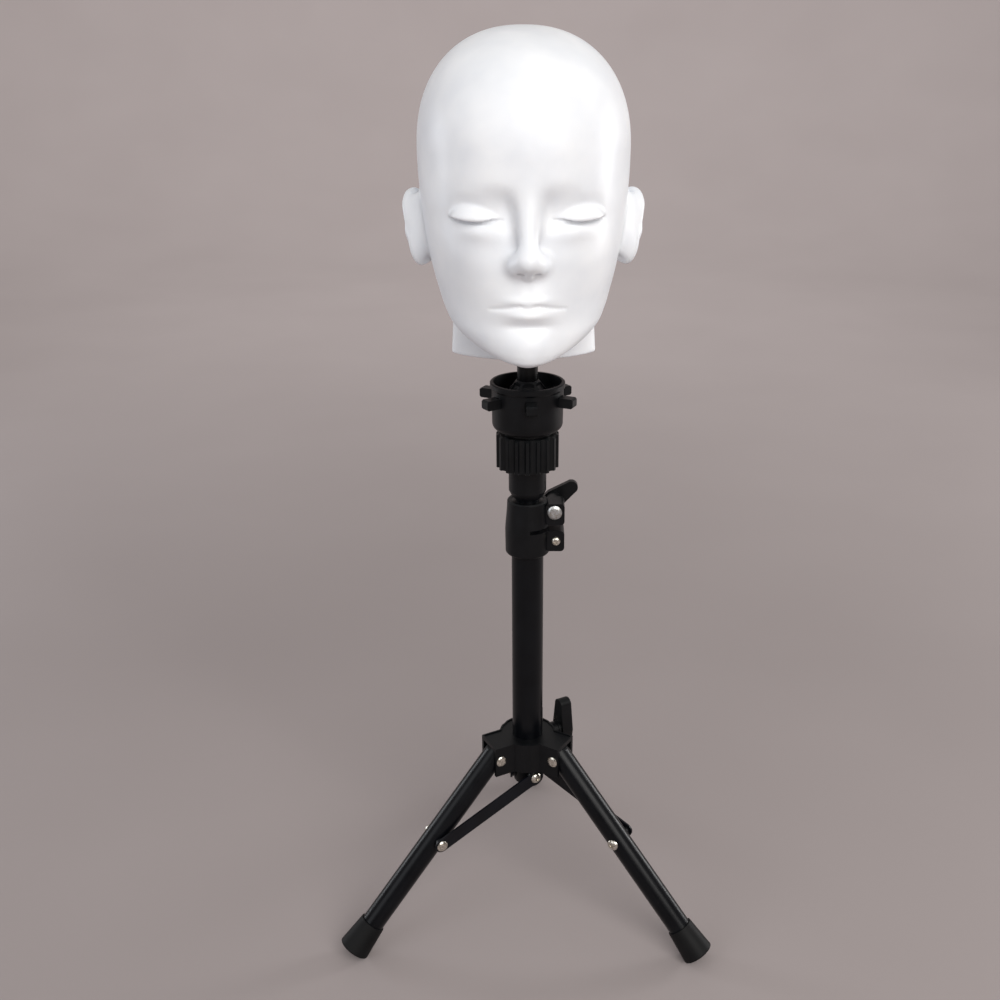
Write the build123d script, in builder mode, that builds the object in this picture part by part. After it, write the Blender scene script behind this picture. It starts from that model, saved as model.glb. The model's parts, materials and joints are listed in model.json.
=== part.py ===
from build123d import *
import os
from math import cos, radians, sin

# A mannequin training head on a small folding tripod, in millimetres.
# +Z is up, the head faces -Y, and the origin is on the floor under the column.

# ---- driving dimensions ----
column_r = 12.7          # outer tube, one inch across
column_wall = 1.5
column_bottom = 139.0
column_top = 360.0
inner_r = 9.3            # sliding inner tube
inner_wall = 1.2
inner_bottom = 155.0
inner_top = 402.0
running = 0.06           # radial clearance of parts that turn or slide in each other
gap = 0.3                # gap between parts that only pass each other

leg_azimuths = (208.9, 328.9, 88.9)
knob_azimuth = 28.9
leg_angle = 42.1         # leg from the vertical
leg_pivot_r = 31.84
leg_pivot_z = 157.0
leg_length = 201.0       # pivot to the middle of the foot's sole
leg_r = 9.5
leg_wall = 1.2
brace_on_leg = 85.3      # pivot of the brace, along the leg
brace_pivot_z = 131.0
brace_near = 13.0        # strap's inner face from the leg's middle plane
brace_hub_low = 122.0
strap_t = 1.6
strap_w = 12.0

hub_low = 143.0
hub_high = 170.0
arm_half = 12.8          # half width of a hub arm
cheek_inner = 9.8
arm_r = 37.0             # end of a hub arm
plate_low = 166.6        # underside of the hub's top plate
hub_knob_z = 163.0
hub_boss_r = 27.5        # face of the boss that the hub knob stands off
hub_wing_r = 30.2        # inner face of the hub knob's wing
hub_wing_t = 10.4
pin_r = 3.0              # bolts of the collar, the hub knob and the leg pivots
small_pin_r = 2.5        # screws of the braces
beyond = 40.0            # long enough for a cut to leave the part

collar_low = 338.0
collar_high = 383.0
bolt_x = 21.2            # clamp bolt of the collar
bolt_z = 374.5
fixing_x = 22.3
fixing_z = 350.2
fixing_r = 2.0
ear_half = 8.5           # half width of the collar's ears
ear_out = 29.0
ear_in = 14.2
upper_ear = (363.7, 381.5)
lower_ear = (341.5, 358.7)
slot_z = 359.0           # cross slot that frees the clamping half
slot_t = 3.2
slot_half_angle = 84

stem_low = 386.0
stem_high = 410.7
stem_r = 14.65
neck_r = 12.0            # tube under the cup that carries it on the stem
neck_bore = 9.9
grip_low = 411.0
grip_high = 438.0
grip_r = 24.2
cup_low = 441.0
cup_high = 478.3
cup_floor = 444.4
cup_r = 27.4
lip_r = 28.4
post_r = 7.85
post_base = 403.0
post_top = 556.0
post_foot = 4.5          # wider foot of the post
post_screw_end = 424.0
jaw_azimuths = (-85, -25, 35, 95, 155, 215)
jaw_w = 8.0
jaw_low = 462.0
jaw_high = 469.4
jaw_tip = 38.7
jaw_chamfer = 1.2

head_shift = -2.5        # head stands a little to one side of the column
head_turn = 2.0          # and is turned a little
head_wall = 5.0
neck_low = 498.5
neck_half_w = 52.0
neck_half_l = 39.5
neck_middle_y = 21.0
head_top = 726.5

os.makedirs("parts", exist_ok=True)


def save(part, label):
    part.label = label
    export_step(part, f"parts/{label}.step")


def ray(azimuth):
    """Unit vector in the floor plane."""
    return Vector(cos(radians(azimuth)), sin(radians(azimuth)), 0)


def radial_plane(azimuth, away=0.0):
    """Plane with x outward, y up; it stands away along azimuth + 90."""
    side = ray(azimuth + 90)
    return Plane(origin=side * away, x_dir=ray(azimuth), z_dir=side * -1)


def facing_plane(azimuth, r, z):
    """Plane whose normal points outward along the azimuth."""
    return Plane(origin=ray(azimuth) * r + Vector(0, 0, z), x_dir=ray(azimuth + 90), z_dir=ray(azimuth))


def leg_point(s, across=0.0):
    """A point of the radial plane, s along the leg from its pivot and across it."""
    a = radians(leg_angle)
    return (leg_pivot_r + s * sin(a) + across * cos(a), leg_pivot_z - s * cos(a) + across * sin(a))


def leg_plane(azimuth, s):
    """Plane across the leg, with its normal down along the leg."""
    a = radians(leg_angle)
    r, z = leg_point(s)
    down = ray(azimuth) * sin(a) + Vector(0, 0, -cos(a))
    return Plane(origin=ray(azimuth) * r + Vector(0, 0, z), x_dir=ray(azimuth + 90), z_dir=down)


brace_r, brace_z = leg_point(brace_on_leg)

# ---- column ----
with BuildPart() as outer_tube:
    with BuildSketch(Plane.XY.offset(column_bottom)):
        Circle(column_r)
        Circle(column_r - column_wall, mode=Mode.SUBTRACT)
    extrude(amount=column_top - column_bottom)
save(outer_tube.part, "outer_tube")

screw_seat = 4.0         # inner end of a brace screw, from the column's axis
with BuildPart() as brace_hub:
    with BuildSketch(Plane.XY.offset(brace_hub_low)):
        Circle(11.6)
    extrude(amount=column_bottom - brace_hub_low)
    with BuildSketch(Plane.XY.offset(column_bottom)):
        Circle(column_r - column_wall)
    extrude(amount=12)
    for azimuth in leg_azimuths:
        with BuildSketch(facing_plane(azimuth + 90, 0, brace_pivot_z)):
            Circle(6)
        extrude(amount=brace_near - 0.15)
    chamfer(brace_hub.faces().sort_by(Axis.Z)[0].edges(), 1.5)
    for azimuth in leg_azimuths:
        with BuildSketch(facing_plane(azimuth + 90, screw_seat, brace_pivot_z)):
            Circle(small_pin_r)
        extrude(amount=20, mode=Mode.SUBTRACT)
save(brace_hub.part, "brace_hub")

strap_outer = brace_near + strap_t
head_seat = strap_outer + 0.15


def head_outline(r, height, rim):
    """Half outline of a domed screw head, to be revolved about the vertical."""
    with BuildSketch() as outline:
        with BuildLine():
            Polyline((r * 0.3, height), (0, height), (0, 0), (r, 0), (r, rim))
            ThreePointArc((r, rim), (r * 0.76, rim + (height - rim) * 0.7), (r * 0.3, height))
        make_face()
    return outline.sketch_local


with BuildPart() as brace_pivot_screws:
    for azimuth in leg_azimuths:
        face = facing_plane(azimuth + 90, screw_seat, brace_pivot_z)
        with BuildSketch(face):
            Circle(small_pin_r)
        extrude(amount=head_seat - screw_seat)
        seat = facing_plane(azimuth + 90, head_seat, brace_pivot_z)
        with BuildSketch(Plane(origin=seat.origin, x_dir=seat.x_dir, z_dir=seat.y_dir * -1)):
            add(head_outline(4.6, 2.4, 0.8))
        revolve(axis=Axis(seat.origin, seat.z_dir))
        with BuildSketch(facing_plane(azimuth + 90, head_seat + 1.2, brace_pivot_z)):
            Rectangle(4.4, 1.0, rotation=45)
            Rectangle(4.4, 1.0, rotation=-45)
        extrude(amount=3, mode=Mode.SUBTRACT)
save(brace_pivot_screws.part, "brace_pivot_screws")

# ---- collar that clamps the inner tube ----
with BuildPart() as clamp_collar:
    with BuildSketch(Plane.XZ):
        with BuildLine():
            Polyline((column_r, collar_low), (16.2, collar_low))
            ThreePointArc((16.2, collar_low), (17.1, collar_low + 0.7), (17.5, collar_low + 1.8))
            Polyline((17.5, collar_low + 1.8), (17.7, 358), (17.3, 364), (15.9, collar_high - 1))
            Polyline((15.9, collar_high - 1), (14.9, collar_high), (column_r, collar_high))
            Polyline((column_r, collar_high), (column_r, collar_low))
        make_face()
    revolve(axis=Axis.Z)
    for low, high in (upper_ear, lower_ear):
        with BuildSketch(Plane.XZ.offset(-ear_half)):
            with Locations(((ear_in + ear_out) / 2, (low + high) / 2)):
                RectangleRounded(ear_out - ear_in, high - low, 3.2)
        extrude(amount=ear_half * 2)
    with BuildSketch(Plane.XY.offset(collar_low - 1)):
        Circle(column_r)
        with Locations((24, 0)):
            Rectangle(24, 1.6)
    extrude(amount=60, mode=Mode.SUBTRACT)
    with BuildSketch(Plane.XY.offset(slot_z)):
        with BuildLine():
            arc = CenterArc((0, 0), beyond, -slot_half_angle, 2 * slot_half_angle)
            Line((0, 0), arc @ 0)
            Line(arc @ 1, (0, 0))
        make_face()
    extrude(amount=slot_t, mode=Mode.SUBTRACT)
    for x, z, r in ((bolt_x, bolt_z, pin_r), (fixing_x, fixing_z, fixing_r)):
        with BuildSketch(Plane.XZ.offset(-beyond / 2)):
            with Locations((x, z)):
                Circle(r)
        extrude(amount=beyond, mode=Mode.SUBTRACT)
save(clamp_collar.part, "clamp_collar")

with BuildPart() as collar_liner:
    with BuildSketch(Plane.XZ):
        bore = inner_r + running
        Polygon(
            (bore, 340), (column_r - column_wall, 340), (column_r - column_wall, column_top),
            (column_r, column_top), (column_r, 382.5), (bore, 382.5), align=None,
        )
    revolve(axis=Axis.Z)
save(collar_liner.part, "collar_liner")

bolt_end = 20.0
fixing_end = 13.0
with BuildPart() as collar_bolt:
    with BuildSketch(Plane.XZ.offset(-bolt_end)):
        with Locations((bolt_x, bolt_z)):
            Circle(pin_r)
    extrude(amount=bolt_end + ear_half)
    with BuildSketch(Plane(origin=(bolt_x, -ear_half, bolt_z), x_dir=(1, 0, 0), z_dir=(0, 0, 1))):
        add(mirror(head_outline(5.7, 2.0, 0.8), about=Plane.XZ, mode=Mode.PRIVATE))
    revolve(axis=Axis((bolt_x, 0, bolt_z), (0, 1, 0)))
save(collar_bolt.part, "collar_bolt")

with BuildPart() as collar_fixing_screw:
    with BuildSketch(Plane.XZ.offset(-fixing_end)):
        with Locations((fixing_x, fixing_z)):
            Circle(fixing_r)
    extrude(amount=fixing_end + ear_half)
    with BuildSketch(Plane(origin=(fixing_x, -ear_half, fixing_z), x_dir=(1, 0, 0), z_dir=(0, 0, 1))):
        add(mirror(head_outline(3.6, 2.2, 0.8), about=Plane.XZ, mode=Mode.PRIVATE))
    revolve(axis=Axis((fixing_x, 0, fixing_z), (0, 1, 0)))
    with BuildSketch(Plane.XZ.offset(ear_half + 1.1)):
        with Locations((fixing_x, fixing_z)):
            Rectangle(3.4, 0.8, rotation=20)
            Rectangle(3.4, 0.8, rotation=110)
    extrude(amount=3, mode=Mode.SUBTRACT)
save(collar_fixing_screw.part, "collar_fixing_screw")

with BuildPart() as collar_fixing_nut:
    with BuildSketch(Plane.XZ.offset(-ear_half)):
        with Locations((fixing_x, fixing_z)):
            RegularPolygon(3.9, 6)
            Circle(fixing_r, mode=Mode.SUBTRACT)
    extrude(amount=-3.2)
save(collar_fixing_nut.part, "collar_fixing_nut")


def wing_outline(half, root, tip):
    """Flat wing, along x: root wide in the middle, tip wide at its rounded ends."""
    with BuildSketch() as outline:
        with BuildLine():
            Polyline((-half + tip, tip), (0, root), (half - tip, tip))
            ThreePointArc((half - tip, tip), (half, 0), (half - tip, -tip))
            Polyline((half - tip, -tip), (0, -root), (-half + tip, -tip))
            ThreePointArc((-half + tip, -tip), (-half, 0), (-half + tip, tip))
        make_face()
    return outline.sketch_local


# Knob behind the collar: boss, wing, and a steel nut moulded in.
knob_near = ear_half + gap
knob_depth = 12.0
wing_near = knob_near + 9.8
wing_t = 6.4
wing_angle = 37          # wing from level
nut_r = 5.2
nut_t = 5.0
with BuildPart() as collar_knob:
    with BuildSketch(Plane.XZ.offset(-knob_near)):
        with Locations((bolt_x, bolt_z)):
            Circle(6.8)
    extrude(amount=-knob_depth)
    wing_dir = (cos(radians(wing_angle)), 0, sin(radians(wing_angle)))
    with BuildSketch(Plane(origin=(bolt_x, wing_near, bolt_z), x_dir=wing_dir, z_dir=(0, 1, 0))):
        add(wing_outline(22.5, 8.2, 5.2))
    extrude(amount=wing_t)
    fillet(collar_knob.faces().sort_by(Axis.Y)[-1].edges(), 1.6)
    with BuildSketch(Plane.XZ.offset(-knob_near)):
        with Locations((bolt_x, bolt_z)):
            RegularPolygon(nut_r, 6)
    extrude(amount=-nut_t, mode=Mode.SUBTRACT)
    with BuildSketch(Plane.XZ.offset(-knob_near)):
        with Locations((bolt_x, bolt_z)):
            Circle(pin_r + gap)
    extrude(amount=-knob_depth - 0.5, mode=Mode.SUBTRACT)
save(collar_knob.part, "collar_knob")

with BuildPart() as collar_knob_nut:
    with BuildSketch(Plane.XZ.offset(-knob_near)):
        with Locations((bolt_x, bolt_z)):
            RegularPolygon(nut_r, 6)
            Circle(pin_r + running, mode=Mode.SUBTRACT)
    extrude(amount=-nut_t)
save(collar_knob_nut.part, "collar_knob_nut")

# ---- inner tube and the bush at its foot ----
with BuildPart() as tube_bush:
    with BuildSketch(Plane.XY.offset(inner_bottom)):
        Circle(column_r - column_wall - running)
        Circle(inner_r + running, mode=Mode.SUBTRACT)
    extrude(amount=14)
save(tube_bush.part, "tube_bush")

with BuildPart() as inner_tube:
    with BuildSketch(Plane.XY.offset(inner_bottom)):
        Circle(inner_r)
        Circle(inner_r - inner_wall, mode=Mode.SUBTRACT)
    extrude(amount=inner_top - inner_bottom)
save(inner_tube.part, "inner_tube")

with BuildPart() as inner_tube_cap:
    with BuildSketch(Plane.XY.offset(inner_bottom - 2)):
        Circle(inner_r)
    extrude(amount=2)
    with BuildSketch(Plane.XY.offset(inner_bottom)):
        Circle(inner_r - inner_wall)
    extrude(amount=10)
save(inner_tube_cap.part, "inner_tube_cap")

# ---- holder: stem, cup and post ----
with BuildPart() as holder_stem:
    with BuildSketch(Plane.XZ):
        Polygon(
            (0, inner_top), (inner_r, inner_top), (inner_r, stem_low), (12.2, stem_low),
            (stem_r, 391), (stem_r, stem_high), (neck_r, stem_high), (neck_r, post_base),
            (0, post_base), align=None,
        )
    revolve(axis=Axis.Z)
    with BuildSketch(Plane.XY.offset(inner_top - 1)):
        Circle(pin_r)
    extrude(amount=4, mode=Mode.SUBTRACT)
save(holder_stem.part, "holder_stem")

with BuildPart() as post_screw:
    with BuildSketch(Plane.XY.offset(inner_top)):
        Circle(pin_r)
    extrude(amount=post_screw_end - inner_top)
    with BuildSketch(Plane.XY.offset(inner_top - 5)):
        Circle(5.5)
    extrude(amount=5)
    with BuildSketch(Plane.XY.offset(inner_top - 5)):
        RegularPolygon(2.8, 6)
    extrude(amount=3, mode=Mode.SUBTRACT)
save(post_screw.part, "post_screw")

with BuildPart() as holder_post:
    with BuildSketch(Plane.XY.offset(post_base)):
        Circle(neck_bore)
    extrude(amount=post_foot)
    with BuildSketch(Plane.XY.offset(post_base + post_foot)):
        Circle(post_r)
    extrude(amount=post_top - post_base - post_foot)
    chamfer(holder_post.faces().sort_by(Axis.Z)[-1].edges(), 1.5)
    with BuildSketch(Plane.XY.offset(post_base)):
        Circle(pin_r)
    extrude(amount=post_screw_end - post_base, mode=Mode.SUBTRACT)
save(holder_post.part, "holder_post")

lug_azimuths = (30, 150, 270)
with BuildPart() as holder_cup:
    with BuildSketch(Plane.XZ):
        with BuildLine():
            Polyline((neck_r, post_base), (neck_r, cup_low), (22.6, cup_low))
            ThreePointArc((22.6, cup_low), (25.6, 442.8), (27.0, 447))
            Polyline((27.0, 447), (cup_r, 473), (lip_r, 474.4), (lip_r, cup_high - 0.6))
            Polyline((lip_r, cup_high - 0.6), (lip_r - 0.7, cup_high), (25.9, cup_high), (24.9, 448.5))
            ThreePointArc((24.9, 448.5), (24.1, 445.7), (22.0, cup_floor))
            Polyline((22.0, cup_floor), (neck_bore, cup_floor), (neck_bore, post_base), (neck_r, post_base))
        make_face()
    revolve(axis=Axis.Z)
    for azimuth in jaw_azimuths:
        with BuildSketch(facing_plane(azimuth, 20, (jaw_low + jaw_high) / 2)):
            Rectangle(jaw_w + 2 * gap, jaw_high - jaw_low + 2 * gap)
        extrude(amount=12, mode=Mode.SUBTRACT)
    for azimuth in lug_azimuths:
        with BuildSketch(facing_plane(azimuth, 5, 423.5)):
            SlotOverall(18.5, 5.6, rotation=90)
        extrude(amount=10, mode=Mode.SUBTRACT)
save(holder_cup.part, "holder_cup")

with BuildPart() as thrust_washer:
    with BuildSketch(Plane.XY.offset(grip_high + gap)):
        Circle(19.5)
        Circle(neck_r, mode=Mode.SUBTRACT)
    extrude(amount=cup_low - grip_high - gap)
save(thrust_washer.part, "thrust_washer")

# ---- grip knob and the cone that it raises ----
flutes = 18
flute_r = 3.2
grip_bevel = 2.2
thread_low = 414.0       # plain groove that stands for the coarse thread
thread_high = 433.0
thread_r = 14.6
with BuildPart() as grip_knob:
    with BuildSketch(Plane.XY.offset(grip_low)):
        Circle(grip_r)
        with PolarLocations(grip_r + 0.9, flutes):
            Circle(flute_r, mode=Mode.SUBTRACT)
    extrude(amount=grip_high - grip_low)
    with BuildSketch(Plane.XZ):
        outside = grip_r + 1
        Polygon((grip_r - 1.6, grip_high), (outside, grip_high), (outside, grip_high - grip_bevel), align=None)
    revolve(axis=Axis.Z, mode=Mode.SUBTRACT)
    with BuildSketch(Plane.XY.offset(grip_low)):
        Circle(neck_r + running)
    extrude(amount=grip_high - grip_low, mode=Mode.SUBTRACT)
    with BuildSketch(Plane.XY.offset(thread_low)):
        Circle(thread_r)
    extrude(amount=thread_high - thread_low, mode=Mode.SUBTRACT)
save(grip_knob.part, "grip_knob")

cone_base = 458.0
cone_slope = 0.8         # radius lost per millimetre of height
sleeve_low = 419.0
sleeve_high = 463.0
lug_z = 427.2
flank_z = 460.0
flank_r = 24.0
cone_rise = 19.5         # height of the sloping flank
cone_top = flank_z + cone_rise
groove_end = cone_top + 2.5
groove_r = flank_r - 2.4     # floor of the grooves that the jaws ride in
groove_top_r = 9.0
jaw_back_r = 15.4            # inner end of a jaw, clear of the post when drawn in
with BuildPart() as spreader_cone:
    with BuildSketch(Plane.XZ):
        bore = post_r + running
        sleeve = neck_bore - running
        Polygon(
            (bore, sleeve_low), (sleeve, sleeve_low), (sleeve, sleeve_high), (flank_r - 3.4, cone_base),
            (flank_r, cone_base), (flank_r, flank_z), (flank_r - cone_slope * cone_rise, cone_top),
            (bore, cone_top),
            align=None,
        )
    revolve(axis=Axis.Z)
    for azimuth in lug_azimuths:
        with BuildSketch(facing_plane(azimuth, 8.6, lug_z)):
            Circle(2.5)
        extrude(amount=5.4)
    for azimuth in jaw_azimuths:
        with BuildSketch(radial_plane(azimuth, -(jaw_w / 2 + gap))):
            Polygon(
                (groove_r, flank_z), (flank_r + 5, flank_z), (flank_r + 5, groove_end),
                (groove_top_r, groove_end), (groove_top_r, flank_z + (groove_r - groove_top_r) / cone_slope),
                align=None,
            )
        extrude(amount=-(jaw_w + 2 * gap), mode=Mode.SUBTRACT)
save(spreader_cone.part, "spreader_cone")

tip_flat = jaw_tip - jaw_chamfer
for index, azimuth in enumerate(jaw_azimuths, start=1):
    with BuildPart() as jaw:
        inner_low = groove_r - cone_slope * (jaw_low - flank_z) + 0.5
        bend_z = jaw_low + (inner_low - jaw_back_r) / cone_slope
        with BuildSketch(radial_plane(azimuth, -jaw_w / 2)):
            with BuildLine():
                Polyline((tip_flat, jaw_low), (inner_low, jaw_low), (jaw_back_r, bend_z))
                Polyline((jaw_back_r, bend_z), (jaw_back_r, jaw_high), (tip_flat, jaw_high))
                Line((tip_flat, jaw_high), (jaw_tip, jaw_high - jaw_chamfer))
                Line((jaw_tip, jaw_high - jaw_chamfer), (jaw_tip, jaw_low + jaw_chamfer))
                Line((jaw_tip, jaw_low + jaw_chamfer), (tip_flat, jaw_low))
            make_face()
        extrude(amount=-jaw_w)
    save(jaw.part, f"jaw_{index}")

# ---- hub that the legs hang on ----
with BuildPart() as leg_hub:
    with BuildSketch(Plane.XY.offset(hub_low)):
        Circle(23.5)
        for azimuth in leg_azimuths:
            with Locations(Location(ray(azimuth) * (arm_r / 2))):
                Rectangle(arm_r, arm_half * 2, rotation=azimuth)
    extrude(amount=hub_high - hub_low)
    for azimuth in leg_azimuths:
        middle = azimuth + 60
        with BuildSketch(Plane.XY.offset(hub_low - 1)):
            with Locations(Location(ray(middle) * 44)):
                Circle(21)
        extrude(amount=beyond, mode=Mode.SUBTRACT)
    with BuildSketch(facing_plane(knob_azimuth, 15, hub_knob_z)):
        Circle(6.8)
    extrude(amount=hub_boss_r - 15)
    # Raised lip round the top plate
    lip_face = leg_hub.faces().sort_by(Axis.Z)[-1]
    with BuildSketch(Plane.XY.offset(hub_high - 0.9)):
        with BuildLine():
            offset(lip_face.outer_wire(), -1.3)
        make_face()
    extrude(amount=5, mode=Mode.SUBTRACT)
    # Room for the top of each leg, open below and outward
    for azimuth in leg_azimuths:
        with BuildSketch(radial_plane(azimuth, -cheek_inner)):
            Polygon(
                (18.6, hub_low - 1), (18.6, 160), (22.5, plate_low), (arm_r + 5, plate_low),
                (arm_r + 5, hub_low - 1), align=None,
            )
        extrude(amount=-2 * cheek_inner, mode=Mode.SUBTRACT)
        with BuildSketch(radial_plane(azimuth)):
            with Locations((leg_pivot_r, leg_pivot_z)):
                Circle(pin_r)
        extrude(amount=20, both=True, mode=Mode.SUBTRACT)
    with BuildSketch(Plane.XY.offset(hub_low - 1)):
        Circle(column_r + running)
    extrude(amount=beyond, mode=Mode.SUBTRACT)
    with BuildSketch(facing_plane(knob_azimuth, 5, hub_knob_z)):
        Circle(pin_r + running)
    extrude(amount=beyond, mode=Mode.SUBTRACT)
save(leg_hub.part, "leg_hub")

with BuildPart() as leg_pivot_bolts:
    for azimuth in leg_azimuths:
        centre = ray(azimuth) * leg_pivot_r + Vector(0, 0, leg_pivot_z)
        side = ray(azimuth + 90)
        with BuildSketch(Plane(origin=centre - side * arm_half, x_dir=ray(azimuth), z_dir=side)):
            Circle(pin_r)
        extrude(amount=arm_half * 2)
        for way in (1, -1):
            seat = centre + side * (arm_half * way)
            with BuildSketch(Plane(origin=seat, x_dir=ray(azimuth), z_dir=Vector(0, 0, way))):
                add(head_outline(4.6, 1.5, 0.5))
            revolve(axis=Axis(seat, side))
save(leg_pivot_bolts.part, "leg_pivot_bolts")

# Wing knob that clamps the hub on the column
hub_screw_near = column_r + 0.15
hub_screw_end = 37.0
with BuildPart() as hub_knob:
    with BuildSketch(facing_plane(knob_azimuth, hub_boss_r + gap, hub_knob_z)):
        Circle(7.0)
    extrude(amount=6.5)
    wing_plane = facing_plane(knob_azimuth, hub_wing_r, hub_knob_z)
    with BuildSketch(Plane(origin=wing_plane.origin, x_dir=(0, 0, 1), z_dir=wing_plane.z_dir)):
        add(wing_outline(28.3, 9.0, 5.6))
    extrude(amount=hub_wing_t)
    fillet(hub_knob.faces().sort_by(Axis((0, 0, 0), tuple(ray(knob_azimuth))))[-1].edges(), 1.6)
    with BuildSketch(facing_plane(knob_azimuth, 20, hub_knob_z)):
        Circle(pin_r)
    extrude(amount=hub_screw_end - 20, mode=Mode.SUBTRACT)
save(hub_knob.part, "hub_knob")

with BuildPart() as hub_knob_screw:
    with BuildSketch(facing_plane(knob_azimuth, hub_screw_near, hub_knob_z)):
        Circle(pin_r)
    extrude(amount=hub_screw_end - hub_screw_near)
save(hub_knob_screw.part, "hub_knob_screw")

# ---- legs, feet and braces ----
tube_start = -11.0       # upper end of a leg tube, along the leg from its pivot
tube_end = 194.0
plug_end = 20.0
foot_top = 174.0
spacer_end = brace_near - gap


def rounded_end():
    """Corner that is cut off so that a leg's upper end is round about its pivot."""
    with BuildSketch() as corner:
        Polygon(leg_point(-16, -12), leg_point(0, -12), leg_point(0, 12), leg_point(-16, 12), align=None)
        with Locations((leg_pivot_r, leg_pivot_z)):
            Circle(leg_r - 0.1, mode=Mode.SUBTRACT)
    return corner.sketch_local


for index, azimuth in enumerate(leg_azimuths, start=1):
    side = ray(azimuth + 90)
    joint_point = ray(azimuth) * brace_r + Vector(0, 0, brace_z)

    with BuildPart() as leg_tube:
        with BuildSketch(leg_plane(azimuth, tube_start)):
            Circle(leg_r)
            Circle(leg_r - leg_wall, mode=Mode.SUBTRACT)
        extrude(amount=tube_end - tube_start)
        with BuildSketch(radial_plane(azimuth)):
            add(rounded_end())
        extrude(amount=15, both=True, mode=Mode.SUBTRACT)
        for point, r in (((leg_pivot_r, leg_pivot_z), pin_r + running), ((brace_r, brace_z), small_pin_r)):
            with BuildSketch(radial_plane(azimuth)):
                with Locations(point):
                    Circle(r)
            extrude(amount=15, both=True, mode=Mode.SUBTRACT)
    save(leg_tube.part, f"leg_tube_{index}")

    with BuildPart() as leg_plug:
        with BuildSketch(leg_plane(azimuth, tube_start)):
            Circle(leg_r - leg_wall)
        extrude(amount=plug_end - tube_start)
        with BuildSketch(radial_plane(azimuth)):
            add(rounded_end())
        extrude(amount=15, both=True, mode=Mode.SUBTRACT)
        with BuildSketch(radial_plane(azimuth)):
            with Locations((leg_pivot_r, leg_pivot_z)):
                Circle(pin_r + running)
        extrude(amount=15, both=True, mode=Mode.SUBTRACT)
    save(leg_plug.part, f"leg_plug_{index}")

    with BuildPart() as foot:
        with BuildSketch(leg_plane(azimuth, foot_top)):
            Circle(10.75)
        with BuildSketch(leg_plane(azimuth, leg_length)):
            Circle(13.25)
        loft()
        fillet(foot.faces().sort_by(Axis.Z)[0].edges(), 1.2)
        with BuildSketch(leg_plane(azimuth, foot_top)):
            Circle(leg_r)
        extrude(amount=tube_end - foot_top, mode=Mode.SUBTRACT)
        with BuildSketch(Plane.XY):
            Rectangle(500, 500)
        extrude(amount=-10, mode=Mode.SUBTRACT)
    save(foot.part, f"foot_{index}")

    # Bolt through the leg, with a spacer under the brace
    with BuildPart() as brace_bolt:
        with BuildSketch(Plane(origin=joint_point - side * (leg_r + 1), x_dir=ray(azimuth), z_dir=side)):
            Circle(small_pin_r)
        extrude(amount=leg_r + 1 + spacer_end)
        bolt_seat = joint_point - side * leg_r
        with BuildSketch(Plane(origin=bolt_seat, x_dir=ray(azimuth), z_dir=Vector(0, 0, -1))):
            add(head_outline(4.7, 2.6, 1.0))
        revolve(axis=Axis(joint_point, side))
        with BuildSketch(Plane(origin=bolt_seat - side * 1.5, x_dir=ray(azimuth), z_dir=side * -1)):
            Rectangle(4.4, 1.0, rotation=30)
            Rectangle(4.4, 1.0, rotation=120)
        extrude(amount=3, mode=Mode.SUBTRACT)
    save(brace_bolt.part, f"brace_bolt_{index}")

    with BuildPart() as spacer:
        with BuildSketch(Plane(origin=joint_point + side * leg_r, x_dir=ray(azimuth), z_dir=side)):
            Circle(4.2)
            Circle(small_pin_r, mode=Mode.SUBTRACT)
        extrude(amount=spacer_end - leg_r)
    save(spacer.part, f"brace_spacer_{index}")

    with BuildPart() as brace:
        with BuildSketch(radial_plane(azimuth, strap_outer)):
            with BuildLine():
                Line((0, brace_pivot_z), (brace_r, brace_z))
            trace(line_width=strap_w)
            with Locations((0, brace_pivot_z)):
                Circle(7.4)
            with Locations((brace_r, brace_z)):
                Circle(strap_w / 2)
            with Locations((0, brace_pivot_z)):
                Circle(small_pin_r + running, mode=Mode.SUBTRACT)
        extrude(amount=strap_t)
    save(brace.part, f"brace_{index}")

    with BuildPart() as brace_head:
        seat = joint_point + side * strap_outer
        with BuildSketch(Plane(origin=seat, x_dir=ray(azimuth), z_dir=Vector(0, 0, 1))):
            add(head_outline(4.7, 2.0, 0.7))
        revolve(axis=Axis(seat, side))
    save(brace_head.part, f"brace_rivet_head_{index}")

# ---- head: hollow soft vinyl shell, plain in form ----
turn = radians(head_turn)
head_plane = Plane(origin=(head_shift, 0, 0), x_dir=(cos(turn), sin(turn), 0), z_dir=(0, 0, 1))


def skull_sections(inset):
    """Half width, half length and middle y of the head at each height, less an inset."""
    rows = (
        (518, 26, 18, -64), (530, 44, 42, -46), (550, 54, 68, -26), (575, 61, 84, -12),
        (605, 69, 93, -4), (640, 74.5, 97, -3), (675, 70.5, 93, -3), (700, 56.5, 77, -3),
        (716, 38, 55, -3), (723, 23, 36, -3), (head_top, 7, 12, -3),
    )
    top = rows[-1][0]
    bottom = rows[0][0]
    for z, half_w, half_l, y in rows:
        level = z - inset if z == top else z + inset if z == bottom else z
        yield level, max(half_w - inset, 3), max(half_l - inset, 4), y


def ring_faces(rings):
    """Oval faces across the head, from height, half width, half length and middle y."""
    faces = []
    for z, half_w, half_l, y in rings:
        with BuildSketch(head_plane.offset(z)) as ring:
            with Locations((0, y)):
                Ellipse(half_w, half_l)
        faces.append(ring.sketch.faces()[0])
    return faces


def neck_sections(inset):
    return (
        (neck_low, neck_half_w - inset, neck_half_l - inset, neck_middle_y),
        (540, 49 - inset, 44 - inset, 19), (590, 50 - inset, 52 - inset, 18),
    )


with BuildPart() as shell_hollow:
    loft(ring_faces(skull_sections(head_wall)))
with BuildPart() as neck_hollow:
    loft(ring_faces(neck_sections(head_wall)))
with BuildPart() as neck_outer:
    loft(ring_faces(neck_sections(0)))

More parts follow.
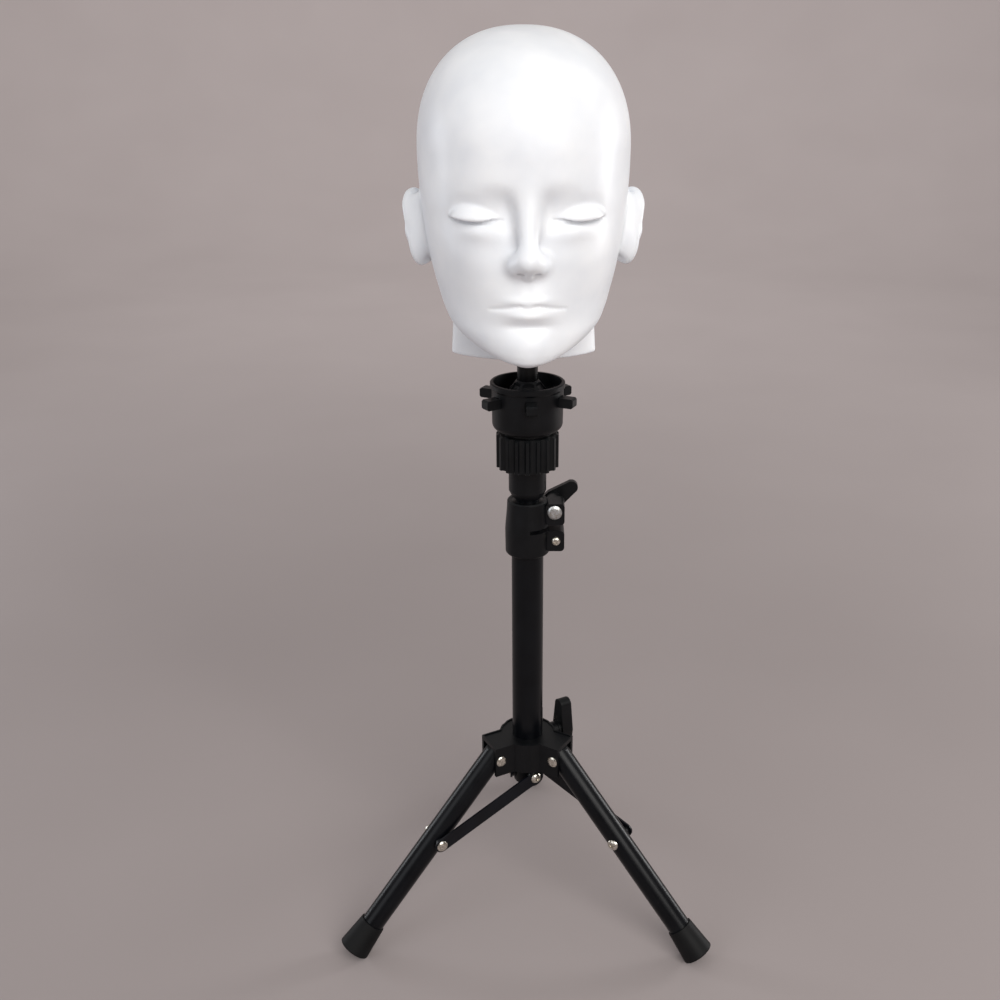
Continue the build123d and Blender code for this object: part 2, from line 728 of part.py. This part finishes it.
with BuildPart() as head_shell:
    loft(ring_faces(skull_sections(0)))
    add(neck_outer.part)
    # Nose
    with BuildSketch(head_plane.offset(577)):
        with Locations((0, -92)):
            Ellipse(15, 17)
    with BuildSketch(head_plane.offset(612)):
        with Locations((0, -90)):
            Ellipse(8, 9)
    loft()
    # Ears
    for way in (-1, 1):
        ear = Plane(
            origin=head_plane.from_local_coords(Vector(way * 62, 8, 589)),
            x_dir=head_plane.y_dir, z_dir=head_plane.x_dir * way,
        )
        with BuildSketch(ear):
            Ellipse(13, 26.5)
        with BuildSketch(ear.offset(24)):
            Ellipse(15, 24)
        loft()
    add(shell_hollow.part, mode=Mode.SUBTRACT)
    add(neck_hollow.part, mode=Mode.SUBTRACT)
save(head_shell.part, "head_shell")

socket_r = 10.5
plug_play = head_wall + 1.0
with BuildPart() as neck_plug:
    with BuildSketch(head_plane.offset(neck_low + 0.2)):
        with Locations((0, neck_middle_y)):
            Ellipse(neck_half_w - plug_play, neck_half_l - plug_play)
    extrude(amount=9)
    with BuildSketch(Plane.XY.offset(neck_low - 1)):
        Circle(socket_r)
    extrude(amount=20, mode=Mode.SUBTRACT)
save(neck_plug.part, "neck_plug")

with BuildPart() as neck_socket:
    with BuildSketch(Plane.XY.offset(neck_low - 0.4)):
        Circle(socket_r)
    extrude(amount=post_top + 3.4 - neck_low)
    with BuildSketch(Plane.XY.offset(neck_low - 1)):
        Circle(post_r + running)
    extrude(amount=post_top + 1 - neck_low + gap, mode=Mode.SUBTRACT)
save(neck_socket.part, "neck_socket")
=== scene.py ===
import json
from math import cos, pi, radians, sin

import bmesh
import bpy
import numpy as np
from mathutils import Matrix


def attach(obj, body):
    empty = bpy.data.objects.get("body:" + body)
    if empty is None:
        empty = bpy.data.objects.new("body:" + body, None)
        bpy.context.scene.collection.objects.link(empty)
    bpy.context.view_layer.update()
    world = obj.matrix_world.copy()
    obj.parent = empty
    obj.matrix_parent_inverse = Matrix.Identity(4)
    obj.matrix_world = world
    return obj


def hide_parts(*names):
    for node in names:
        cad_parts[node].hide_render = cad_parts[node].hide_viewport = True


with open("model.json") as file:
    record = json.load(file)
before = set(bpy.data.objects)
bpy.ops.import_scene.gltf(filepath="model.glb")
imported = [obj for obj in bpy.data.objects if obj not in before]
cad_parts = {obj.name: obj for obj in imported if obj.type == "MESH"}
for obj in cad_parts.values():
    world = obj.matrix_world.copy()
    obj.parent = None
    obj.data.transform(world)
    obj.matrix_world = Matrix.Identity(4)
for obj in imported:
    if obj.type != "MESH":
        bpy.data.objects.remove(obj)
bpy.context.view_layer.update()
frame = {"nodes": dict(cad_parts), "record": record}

import openvdb
from mathutils import Matrix, Vector

mm = 0.001
print("frame loaded:", len(frame["nodes"]), "nodes")


def linearColour(hexColour):
    # sRGB hex to the linear values that a shader takes
    values = []
    for i in (0, 2, 4):
        c = int(hexColour[i:i + 2], 16) / 255
        values.append(c / 12.92 if c <= 0.04045 else ((c + 0.055) / 1.055) ** 2.4)
    return (*values, 1.0)


def newMaterial(name):
    material = bpy.data.materials.new(name)
    material.use_nodes = True
    tree = material.node_tree
    shader = tree.nodes["Principled BSDF"]
    return material, tree, shader


def addNode(tree, kind, settings=None, inputs=None):
    # inputs: socket name or number -> a value, or (node, output) to link from
    node = tree.nodes.new(kind)
    for key, value in (settings or {}).items():
        setattr(node, key, value)
    for key, value in (inputs or {}).items():
        if isinstance(value, tuple) and len(value) == 2 and isinstance(value[0], bpy.types.Node):
            tree.links.new(value[0].outputs[value[1]], node.inputs[key])
        else:
            node.inputs[key].default_value = value
    return node


def setRamp(node, stops):
    ramp = node.color_ramp
    while len(ramp.elements) > 2:
        ramp.elements.remove(ramp.elements[-1])
    while len(ramp.elements) < len(stops):
        ramp.elements.new(0.5)
    for element, (position, colour) in zip(ramp.elements, stops):
        element.position = position
        element.color = colour


def linkSurface(tree, shader, tone, rough, bump):
    tree.links.new(tone.outputs["Color"], shader.inputs["Base Color"])
    tree.links.new(rough.outputs["Result"], shader.inputs["Roughness"])
    tree.links.new(bump.outputs["Normal"], shader.inputs["Normal"])


# every length in the dictionaries of the head is in millimetres
head = {
    "shift": -2.5,        # to the side of the column
    "turn": 2.0,          # degrees about the column
    "voxel": 0.9,
    "low": (0.0, -113.0, 494.0),
    "high": (93.0, 100.0, 731.0),
    "smoothFactor": 0.5,
    "smoothPasses": 4,
    "neckLow": 498.5,
    # recess that takes the neck's plug
    "plugHalf": (46.4, 34.0),
    "plugY": 21.0,
    "plugTop": 509.8,
    # height: half width, front, back and squareness of the front, without nose and lips
    "skull": (
        (511.5, 7, -85, -66, 2.1), (514, 18, -89, -52, 1.9), (518, 30, -91, -28, 1.8),
        (524, 42, -91.5, -4, 1.75), (531, 51, -91, 14, 1.74),
        (541, 57.2, -89.5, 32, 1.8), (552, 61.4, -89, 50, 1.92), (565, 65.4, -89, 65, 2.05),
        (578, 68.4, -88.5, 76, 2.15), (592, 71, -87, 85, 2.25), (606, 72.8, -87, 91, 2.3),
        (618, 74, -89.5, 94, 2.3), (632, 74.9, -92, 95, 2.25), (646, 75.2, -92.5, 95, 2.2),
    ),
    "crown": 80.5,        # height of the dome on top of the last section
    "crownPower": 2.25,
    "skullBackPower": 2.1,
    # height: half width, front, back and squareness of the front
    "neck": (
        (490, 54.6, -18.5, 62, 1.5), (515, 53.0, -19, 63, 1.5), (535, 52, -22, 66, 1.6),
        (560, 53, -24, 72, 1.8), (600, 58, -20, 78, 2.0),
    ),
    "neckBackPower": 2.4,
    "neckShare": 0.34,    # where the neck is widest, from front to back
    "neckEnds": (480, 600),
}


def spacedCurve(rows, column, at):
    # smooth curve through the rows, by Catmull-Rom slopes
    z = np.array([r[0] for r in rows], float)
    v = np.array([r[column] for r in rows], float)
    slope = np.gradient(v, z)
    at = np.clip(at, z[0], z[-1])
    i = np.clip(np.searchsorted(z, at) - 1, 0, len(z) - 2)
    h = z[i + 1] - z[i]
    t = (at - z[i]) / h
    return (
        (2 * t**3 - 3 * t**2 + 1) * v[i] + (t**3 - 2 * t**2 + t) * h * slope[i]
        + (-2 * t**3 + 3 * t**2) * v[i + 1] + (t**3 - t**2) * h * slope[i + 1]
    )


def blendIn(a, b, k):
    # the nearer of two distances, with a soft join k wide
    h = np.clip(0.5 + 0.5 * (b - a) / k, 0, 1)
    return b + (a - b) * h - k * h * (1 - h)


def carveOut(a, b, k):
    # the farther of two distances, with the same soft join
    return -blendIn(-a, b, k)


def spun(turn):
    # about x, then y, then z, in degrees
    rx, ry, rz = [Matrix.Rotation(radians(a), 3, axis) for a, axis in zip(turn, "XYZ")]
    return rz @ ry @ rx


class Clay:
    # a block of distances on a regular grid, mirrored about x = 0 at the end
    def __init__(self, low, high, step):
        self.low = np.array(low, float)
        self.step = step
        axes = [np.arange(l, h + step, step, dtype=np.float32) for l, h in zip(low, high)]
        self.axes = axes
        self.field = np.full([len(a) for a in axes], 50, np.float32)

    def window(self, low, high):
        cut = []
        for a, l, h in zip(self.axes, low, high):
            i, j = np.searchsorted(a, l), np.searchsorted(a, h)
            cut.append(slice(max(i - 1, 0), min(j + 1, len(a))))
        cut = tuple(cut)
        x, y, z = [a[c] for a, c in zip(self.axes, cut)]
        return cut, x[:, None, None], y[None, :, None], z[None, None, :]

    def put(self, shape, low, high, k, carve=False):
        cut, x, y, z = self.window(low, high)
        value = shape(x, y, z)
        old = self.field[cut]
        self.field[cut] = carveOut(old, value, k) if carve else blendIn(old, value, k)

    def ball(self, centre, size, k=3.0, carve=False, turn=(0, 0, 0)):
        # ellipsoid; turn is about x, y and z in degrees
        reach = max(size) + k * 1.5 + 2
        spin = np.array(spun(turn))
        cx, cy, cz = centre

        def shape(x, y, z):
            p = [
                (x - cx) * spin[0][i] + (y - cy) * spin[1][i] + (z - cz) * spin[2][i]
                for i in range(3)
            ]
            near = np.sqrt(sum((p[i] / size[i]) ** 2 for i in range(3))) + 1e-6
            far = np.sqrt(sum((p[i] / size[i] ** 2) ** 2 for i in range(3))) + 1e-6
            return near * (near - 1) / far

        self.put(shape, [c - reach for c in centre], [c + reach for c in centre], k, carve)

    def rope(self, points, radii, k=2.0, carve=False):
        # round strip through the points, smoothly curved
        points = np.array(points, float)
        radii = np.array(radii, float)
        n = len(points)
        fine = np.linspace(0, n - 1, 6 * (n - 1) + 1)
        rows = [(i, *points[i], radii[i]) for i in range(n)]
        line = np.array([spacedCurve(rows, c, fine) for c in (1, 2, 3, 4)]).T
        reach = radii.max() + k * 1.5 + 1.5

        def shape(x, y, z):
            best = None
            for a, b in zip(line[:-1], line[1:]):
                d = b[:3] - a[:3]
                t = ((x - a[0]) * d[0] + (y - a[1]) * d[1] + (z - a[2]) * d[2]) / max(d @ d, 1e-6)
                t = np.clip(t, 0, 1)
                px, py, pz = x - a[0] - t * d[0], y - a[1] - t * d[1], z - a[2] - t * d[2]
                away = np.sqrt(px ** 2 + py ** 2 + pz ** 2)
                away = away - (a[3] + t * (b[3] - a[3]))
                best = away if best is None else np.minimum(best, away)
            return best

        self.put(shape, line[:, :3].min(0) - reach, line[:, :3].max(0) + reach, k, carve)

    def swell(self, centre, size, height):
        # soft mound of that height on what is there, or a dip where height is negative
        cx, cy, cz = centre
        reach = [3.0 * s for s in size]
        low = [c - r for c, r in zip(centre, reach)]
        high = [c + r for c, r in zip(centre, reach)]
        cut, x, y, z = self.window(low, high)
        away = ((x - cx) / size[0]) ** 2 + ((y - cy) / size[1]) ** 2 + ((z - cz) / size[2]) ** 2
        self.field[cut] -= height * np.exp(-away)

    def front(self, x, z):
        # y of the surface seen from the front at that x and z
        i, k = [np.abs(a - v).argmin() for a, v in zip((self.axes[0], self.axes[2]), (x, z))]
        column = self.field[i, :, k]
        j = int(np.argmax(column < 0))
        share = column[j - 1] / (column[j - 1] - column[j])
        return float(self.axes[1][j - 1] + share * self.step)

    def mesh(self, name):
        half = self.field
        full = np.concatenate([half[:0:-1], half], axis=0)
        grid = openvdb.FloatGrid(background=50.0)
        grid.copyFromArray(full.astype(np.float32))
        points, quads = grid.convertToQuads(isovalue=0.0)
        start = self.low.copy()
        start[0] = -self.step * (half.shape[0] - 1)
        points = points * self.step + start
        mesh = bpy.data.meshes.new(name)
        mesh.from_pydata((points * mm).tolist(), [], quads.tolist())
        mesh.validate()
        return mesh


def sectionRatio(rows, level, x, y, backPower, share=0.58):
    # 1 on the outline of the section at that height, less inside; share is where the
    # section is widest, from front to back
    curves = [spacedCurve(rows, column, level)[None, None, :] for column in (1, 2, 3, 4)]
    width, front, back, frontPower = curves
    middle = front + share * (back - front)
    reach = np.where(y < middle, middle - front, back - middle)
    power = np.where(y < middle, frontPower, backPower)
    ratio = ((np.abs(x) / width) ** power + (np.abs(y - middle) / reach) ** power) ** (1 / power)
    return ratio, np.minimum(width, reach)


def skullShape(x, y, z):
    rows = head["skull"]
    low, high = rows[0][0], rows[-1][0]
    ratio, scale = sectionRatio(rows, np.minimum(z.ravel(), high), x, y, head["skullBackPower"])
    rise = np.maximum(z - high, 0) / head["crown"]
    power = head["crownPower"]
    dome = (ratio ** power + rise ** power) ** (1 / power)
    return np.maximum((dome - 1) * scale, low - z).astype(np.float32)


def neckShape(x, y, z):
    low, high = head["neckEnds"]
    power, share = head["neckBackPower"], head["neckShare"]
    ratio, scale = sectionRatio(head["neck"], z.ravel(), x, y, power, share)
    return np.maximum((ratio - 1) * scale, np.maximum(low - z, z - high)).astype(np.float32)


lid = {
    "centre": (33.4, -71.0, 606.3),
    "size": (18.5, 14.4, 13.2),
    "turn": 21,
    # the lashes hang in a shallow bow
    "middle": 608.4,
    "middleX": 36,
    "bow": 0.0035,
    "edge": 2.6,
    "lashes": (16.5, 22, 29, 37, 45, 51.5),
}


def lashLevel(x):
    return lid["middle"] + lid["bow"] * (x - lid["middleX"]) ** 2


def lidShape(x, y, z):
    # upper half of an ellipsoid, cut along the lashes
    c, s = cos(radians(lid["turn"])), sin(radians(lid["turn"]))
    cx, cy, cz = lid["centre"]
    p = ((x - cx) * c + (y - cy) * s, (y - cy) * c - (x - cx) * s, z - cz)
    near = np.sqrt(sum((v / r) ** 2 for v, r in zip(p, lid["size"]))) + 1e-6
    far = np.sqrt(sum((v / r**2) ** 2 for v, r in zip(p, lid["size"]))) + 1e-6
    return carveOut(near * (near - 1) / far, z - lashLevel(x), lid["edge"])


def buildHead():
    c = Clay(head["low"], head["high"], head["voxel"])
    c.put(skullShape, head["low"], head["high"], 0.5)
    c.put(neckShape, head["low"], head["high"], 5.0)

    # chin and cheeks
    c.ball((0, -76.5, 526), (14, 13, 10), 7)
    c.swell((0, -91, 538), (22, 14, 5), -1.0)
    c.swell((40, -72, 588), (24, 20, 20), 2.2)
    c.swell((66, -48, 634), (14, 22, 16), -1.2)

    # brows and eye hollows
    c.ball((26, -101.5, 614), (19, 15, 11), 12, carve=True, turn=(0, 0, 14))
    c.ball((46, -87, 613), (16, 11, 8), 9, carve=True, turn=(0, 0, 34))
    c.swell((13.5, -88, 614), (6, 12, 10), -2.4)

    # nose
    c.rope(((0, -79, 631), (0, -86, 615), (0, -92.5, 600), (0, -98.6, 587)), (7.0, 6.4, 5.8, 6.0), 9)
    c.ball((0, -99.2, 584.4), (7.0, 7.2, 5.8), 9)
    c.ball((7.8, -91.2, 581.4), (4.2, 7.0, 4.8), 8, turn=(0, 0, -14))
    c.rope(((0, -99, 579.2), (0, -91.5, 574.4)), (2.2, 2.8), 3)
    c.ball((5.0, -96.4, 576.6), (2.5, 3.8, 2.3), 1.4, carve=True, turn=(0, 0, -16))

    # closed eyes: the lid over the ball ends in the lash line
    c.put(lidShape, (8, -100, 596), (66, -50, 632), 2.4)
    c.swell((33, -82, 601), (17, 12, 6), 1.6)
    lashes = [(x, c.front(x, lashLevel(x) - 1.0) + 0.8, lashLevel(x) - 0.8) for x in lid["lashes"]]
    c.rope(lashes, (0.6, 1.4, 1.9, 1.9, 1.5, 0.7), 0.6, carve=True)

    # mouth
    c.swell((0, -93, 556), (22, 16, 12), 2.0)
    c.swell((7, -93, 557.6), (10, 10, 2.8), 1.0)
    c.swell((0, -93, 547.8), (15, 12, 3.8), 2.4)
    line = ((-3, 552.9), (0, 552.6), (6, 554.0), (13, 552.9), (20, 551.7), (26, 551.0))
    parting = [(x, c.front(max(x, 0), z) - 0.3, z) for x, z in line]
    c.rope(parting, (1.6, 1.6, 1.6, 1.5, 1.3, 0.6), 0.7, carve=True)
    c.swell((0, -98, 566), (3.0, 8, 6), -0.9)
    c.swell((0, -93, 539.6), (13.5, 10, 2.4), -2.6)

    buildEar(c)
    # flat bottom of the neck, with the recess for its plug
    c.field = np.maximum(c.field, (head["neckLow"] - c.axes[2])[None, None, :])
    x, y = c.axes[0][:, None, None], c.axes[1][None, :, None]
    a, b = head["plugHalf"]
    recess = (np.sqrt((x / a) ** 2 + ((y - head["plugY"]) / b) ** 2) - 1) * b
    recess = np.maximum(recess, (c.axes[2] - head["plugTop"])[None, None, :])
    c.field = np.maximum(c.field, -recess)
    return c.mesh("head")


ear = {
    "centre": (77.0, 9.0, 592.0),
    # degrees
    "flare": 28,
    "lean": -8,
    "tilt": 9,
}


def buildEar(c):
    # at() takes millimetres outward, back and up from the middle of the ear
    turn = (ear["lean"], ear["tilt"], ear["flare"])
    spin = spun(turn)
    middle = Vector(ear["centre"])

    def at(out, back, up):
        return tuple(middle + spin @ Vector((out, back, up)))

    # blade of the ear, its root on the skull, and the lobe
    c.ball(at(0, 1.5, 6), (4.4, 15, 21), 3.0, turn=turn)
    c.ball(at(-3.0, -3.0, -12), (4.8, 12.0, 16), 5.0, turn=turn)
    c.ball(at(-6, -6, 0), (7, 8, 22), 5.0, turn=turn)
    # hollow of the ear, then the rolled rim, the inner ridge and the flap in front
    c.ball(at(6.0, 0.5, 5), (4.8, 10.2, 16.5), 3.0, carve=True, turn=turn)
    c.ball(at(3.4, -3.0, -3), (5.6, 7.0, 9.0), 3.0, carve=True, turn=turn)
    rim = [at(0.6, -10, 6), at(2.0, -9.5, 15), at(2.6, -3.5, 22.6), at(2.8, 5.0, 24.4),
           at(2.6, 11.5, 19.0), at(1.8, 13.6, 9), at(0.4, 12.4, -3), at(-1.6, 8.6, -14),
           at(-3.4, 2, -22)]
    c.rope(rim, (1.6, 2.1, 2.4, 2.5, 2.5, 2.5, 2.7, 3.2, 3.8), 3.0)
    ridge = [at(1.0, 0, 17), at(1.6, 5.2, 11), at(1.6, 7.4, 2),
             at(0.8, 5.0, -8), at(-0.6, 0.5, -13), at(-1.2, -4.5, -13)]
    c.rope(ridge, (1.2, 1.7, 1.9, 1.9, 2.0, 1.8), 2.4)
    c.ball(at(0.4, -9.0, -3.5), (3.0, 3.4, 5.0), 2.6, turn=turn)


headMesh = buildHead()
headPiece = bpy.data.objects.new("training_head", headMesh)
bpy.context.collection.objects.link(headPiece)
headTurn = Matrix.Rotation(radians(head["turn"]), 4, "Z")
headMesh.transform(Matrix.Translation((head["shift"] * mm, 0, 0)) @ headTurn)
smoothing = headPiece.modifiers.new("Smooth", "SMOOTH")
smoothing.factor = head["smoothFactor"]
smoothing.iterations = head["smoothPasses"]
for face in headMesh.polygons:
    face.use_smooth = True
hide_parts("head_shell")
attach(headPiece, "head")
print("head built:", len(headMesh.polygons), "faces")


def softVinyl():
    # PVC paste cast in a hollow mould: chalk white, satin, a little light gets in,
    # fine skin grain from the mould
    look = {
        "colour": "EEF0F3", "shadow": "E2E5EA", "roughness": 0.42,
        "cloudMm": 36, "grainMm": 0.9, "grainDepthMm": 0.4, "grainStrength": 0.10,
        "ior": 1.53, "glow": 0.12, "glowRadius": (0.6, 0.55, 0.5), "glowMm": 4,
    }
    material, tree, shader = newMaterial("White cast vinyl")
    place = addNode(tree, "ShaderNodeTexCoord")
    cloud = addNode(tree, "ShaderNodeTexNoise", inputs={
        "Vector": (place, "Object"), "Scale": 1 / (look["cloudMm"] * mm), "Detail": 3.0})
    tone = addNode(tree, "ShaderNodeValToRGB", inputs={"Fac": (cloud, "Fac")})
    setRamp(tone, ((0.3, linearColour(look["shadow"])), (0.7, linearColour(look["colour"]))))
    grain = addNode(tree, "ShaderNodeTexNoise", inputs={
        "Vector": (place, "Object"), "Scale": 1 / (look["grainMm"] * mm), "Detail": 2.0})
    rough = addNode(tree, "ShaderNodeMapRange", inputs={
        "Value": (cloud, "Fac"), "To Min": look["roughness"] - 0.05, "To Max": look["roughness"] + 0.06})
    bump = addNode(tree, "ShaderNodeBump", inputs={
        "Height": (grain, "Fac"), "Strength": look["grainStrength"],
        "Distance": look["grainDepthMm"] * mm})
    linkSurface(tree, shader, tone, rough, bump)
    shader.inputs["IOR"].default_value = look["ior"]
    shader.inputs["Subsurface Weight"].default_value = look["glow"]
    shader.inputs["Subsurface Radius"].default_value = look["glowRadius"]
    shader.inputs["Subsurface Scale"].default_value = look["glowMm"] * mm
    return material


finePattern = {"cloudMm": 17, "grainStrength": 0.35}


def fineFinish(name, colour, light, roughness, grainMm, grainDepthMm, specular=0.5):
    # shared base of the stand's plastics and coatings: small cloud in tone and gloss,
    # and the grain as bump
    material, tree, shader = newMaterial(name)
    place = addNode(tree, "ShaderNodeTexCoord")
    cloud = addNode(tree, "ShaderNodeTexNoise", inputs={
        "Vector": (place, "Object"), "Scale": 1 / (finePattern["cloudMm"] * mm), "Detail": 4.0})
    tone = addNode(tree, "ShaderNodeValToRGB", inputs={"Fac": (cloud, "Fac")})
    setRamp(tone, ((0.35, linearColour(colour)), (0.75, linearColour(light))))
    grain = addNode(tree, "ShaderNodeTexNoise", inputs={
        "Vector": (place, "Object"), "Scale": 1 / (grainMm * mm), "Detail": 2.0, "Roughness": 0.6})
    rough = addNode(tree, "ShaderNodeMapRange", inputs={
        "Value": (cloud, "Fac"), "To Min": roughness - 0.06, "To Max": roughness + 0.08})
    bump = addNode(tree, "ShaderNodeBump", inputs={
        "Height": (grain, "Fac"), "Strength": finePattern["grainStrength"],
        "Distance": grainDepthMm * mm})
    linkSurface(tree, shader, tone, rough, bump)
    shader.inputs["Specular IOR Level"].default_value = specular
    return material


platePattern = {"speckMm": 1.1, "speckDepthMm": 0.05, "speckStrength": 0.15, "dull": "A8A398"}


def platedSteel(name, colour, roughness):
    # plated screws: bright metal with dull specks
    material, tree, shader = newMaterial(name)
    place = addNode(tree, "ShaderNodeTexCoord")
    specks = addNode(tree, "ShaderNodeTexNoise", inputs={
        "Vector": (place, "Object"), "Scale": 1 / (platePattern["speckMm"] * mm), "Detail": 3.0})
    rough = addNode(tree, "ShaderNodeMapRange", inputs={
        "Value": (specks, "Fac"), "To Min": roughness - 0.06, "To Max": roughness + 0.12})
    tone = addNode(tree, "ShaderNodeValToRGB", inputs={"Fac": (specks, "Fac")})
    setRamp(tone, ((0.3, linearColour(platePattern["dull"])), (0.6, linearColour(colour))))
    bump = addNode(tree, "ShaderNodeBump", inputs={
        "Height": (specks, "Fac"), "Strength": platePattern["speckStrength"],
        "Distance": platePattern["speckDepthMm"] * mm})
    linkSurface(tree, shader, tone, rough, bump)
    shader.inputs["Metallic"].default_value = 1.0
    return material


finishes = {
    "white_vinyl": softVinyl(),
    # baked powder coat on steel tube: deep black, satin, faint orange peel about 1.2 mm across
    "black_coated_tube": fineFinish("Black powder coat", "040508", "080A0E", 0.30, 1.2, 0.02, 0.2),
    # glass filled nylon from a spark-eroded mould: even fine grain, dull sheen
    "black_plastic": fineFinish("Black moulded nylon", "050608", "0B0C0F", 0.38, 0.5, 0.03, 0.22),
    # polypropylene knobs: slightly greyer, handled smooth
    "black_soft_plastic": fineFinish(
        "Black moulded polypropylene", "07080A", "0E1012", 0.36, 0.6, 0.03, 0.22),
    # moulded rubber: matt, dusty
    "black_rubber": fineFinish("Black moulded rubber", "050506", "0C0C0D", 0.58, 0.5, 0.06, 0.2),
    # electro-coated steel strip: thin blue-black film, rolled flat
    "black_strap": fineFinish("Black electrocoat", "06070C", "0B0E16", 0.34, 0.8, 0.01, 0.25),
    # turned acetal: smooth, a little gloss from the tool marks
    "post_plastic": fineFinish("Black acetal rod", "040405", "08090B", 0.28, 0.8, 0.01, 0.25),
    # acetal without pigment: milky, waxy
    "white_liner": fineFinish("Natural acetal", "C9C8C2", "DAD9D4", 0.45, 0.6, 0.01),
    "nickel_screw": platedSteel("Bright nickel plate", "E6E1D6", 0.22),
    "zinc_steel": platedSteel("Zinc plate", "C9CCCE", 0.34),
}
slotOf = {s["node"]: s["material_slot"] for s in frame["record"]["subparts"]}
for name, node in frame["nodes"].items():
    node.data.materials.clear()
    node.data.materials.append(finishes[slotOf[name]])
headMesh.materials.append(finishes["white_vinyl"])
print("materials set:", len(finishes))

# metres, and the paint's two tones
floor = {
    "flat": 3.0, "edge": 5.0, "rise": 2.6, "steps": 12, "turns": 96,
    "colour": "9A9190", "shade": "968D8C", "cloudMm": 330, "roughness": 0.9,
}


def buildFloor():
    # round studio floor that curves up all round
    flat, edge, rise, steps = floor["flat"], floor["edge"], floor["rise"], floor["steps"]
    profile = [(0.0, 0.0), (flat, 0.0)]
    for i in range(1, steps + 1):
        a = i / steps * pi / 2
        profile.append((flat + (edge - flat) * sin(a), rise * (1 - cos(a))))
    bm = bmesh.new()
    verts = [bm.verts.new((r, 0, z)) for r, z in profile]
    edges = [bm.edges.new(pair) for pair in zip(verts[:-1], verts[1:])]
    bmesh.ops.spin(
        bm, geom=verts + edges, cent=(0, 0, 0), axis=(0, 0, 1), angle=2 * pi,
        steps=floor["turns"], use_merge=True)
    bmesh.ops.remove_doubles(bm, verts=bm.verts, dist=1e-4)
    bmesh.ops.recalc_face_normals(bm, faces=bm.faces)
    mesh = bpy.data.meshes.new("studio_floor")
    bm.to_mesh(mesh)
    bm.free()
    for face in mesh.polygons:
        face.use_smooth = True
    piece = bpy.data.objects.new("studio_floor", mesh)
    bpy.context.collection.objects.link(piece)
    material, tree, shader = newMaterial("Matt painted floor")
    place = addNode(tree, "ShaderNodeTexCoord")
    cloud = addNode(tree, "ShaderNodeTexNoise", inputs={
        "Vector": (place, "Object"), "Scale": 1 / (floor["cloudMm"] * mm), "Detail": 2.0})
    tone = addNode(tree, "ShaderNodeValToRGB", inputs={"Fac": (cloud, "Fac")})
    setRamp(tone, ((0.2, linearColour(floor["shade"])), (0.8, linearColour(floor["colour"]))))
    tree.links.new(tone.outputs["Color"], shader.inputs["Base Color"])
    shader.inputs["Roughness"].default_value = floor["roughness"]
    mesh.materials.append(material)


buildFloor()


def addLamp(name, place, target, size, power, colour):
    lamp = bpy.data.lights.new(name, "AREA")
    lamp.shape = "RECTANGLE"
    lamp.size, lamp.size_y = size
    lamp.energy = power
    lamp.color = linearColour(colour)[:3]
    holder = bpy.data.objects.new(name, lamp)
    bpy.context.collection.objects.link(holder)
    holder.location = place
    holder.rotation_euler = (Vector(target) - Vector(place)).to_track_quat("-Z", "Y").to_euler()


# name, place, what it points at, size, power in watts, colour
lamps = (
    ("Key softbox", (0.7, -1.6, 1.5), (0, 0, 0.58), (1.5, 1.5), 35, "FFFDFA"),
    ("Fill softbox", (-1.4, -1.3, 1.1), (0, 0, 0.45), (1.2, 1.6), 9, "F6FAFF"),
    ("Right strip", (1.9, 0.8, 0.62), (0, 0, 0.4), (0.5, 0.9), 15, "FFFFFF"),
    ("Left strip", (-1.9, 0.8, 0.62), (0, 0, 0.4), (0.5, 0.9), 9, "F6FAFF"),
    ("Wall wash", (0, 1.8, 2.6), (0, 4.8, 1.0), (3.6, 0.6), 92, "FFFFFF"),
)
for lamp in lamps:
    addLamp(*lamp)
roomLight = {"colour": "E9E6E4", "strength": 0.63}
world = bpy.data.worlds.new("Studio")
world.use_nodes = True
background = world.node_tree.nodes["Background"]
background.inputs["Color"].default_value = linearColour(roomLight["colour"])
background.inputs["Strength"].default_value = roomLight["strength"]
bpy.context.scene.world = world
bpy.context.scene.view_settings.view_transform = "Standard"

# metres, degrees, and millimetres for the lens and the sensor
camera = {
    "distance": 0.8354, "height": 0.7172, "pitch": 21.88,
    "lens": 41.33, "sensor": 36, "shift": -0.0275,
}
cameraData = bpy.data.cameras.new("Camera")
cameraData.sensor_width = camera["sensor"]
cameraData.lens = camera["lens"]
cameraData.shift_x = camera["shift"]
cameraPiece = bpy.data.objects.new("Camera", cameraData)
bpy.context.collection.objects.link(cameraPiece)
cameraPiece.location = (0, -camera["distance"], camera["height"])
cameraPiece.rotation_euler = (radians(90 - camera["pitch"]), 0, 0)
bpy.context.scene.camera = cameraPiece
print("floor, lamps and camera placed")
